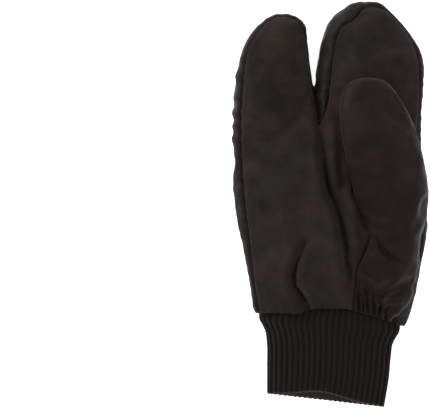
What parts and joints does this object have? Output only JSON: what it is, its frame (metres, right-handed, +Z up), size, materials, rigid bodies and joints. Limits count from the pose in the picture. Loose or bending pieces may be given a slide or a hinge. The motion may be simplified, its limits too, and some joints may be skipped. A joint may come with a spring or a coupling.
{
  "type": "split-finger cross-country ski glove",
  "caption": "Right-hand split-finger ski mitt, hollow and open at the wrist: padded nylon back, suede palm, gusset between the finger sheaths, thumb folded over the palm, rib-knit cuff.",
  "frame": {"origin": "on the surface that the glove lies on, under the middle of its outline", "axes": "+Y towards the fingertips, +X towards the thumb side, +Z up out of the palm, away from the surface"},
  "size_m": [0.1404, 0.2911, 0.0603],
  "materials": {
    "shell_nylon": "satin woven nylon over wadding",
    "palm_suede": "matte synthetic suede with a short nap",
    "rib_knit": "matte rib knit"
  },
  "bodies": {
    "root": {"back_panel": "shell_nylon", "palm_panel": "palm_suede", "finger_gusset": "shell_nylon", "index_patch": "palm_suede", "thumb_front": "shell_nylon", "thumb_back": "palm_suede", "cuff": "rib_knit"}
  },
  "joints": []
}
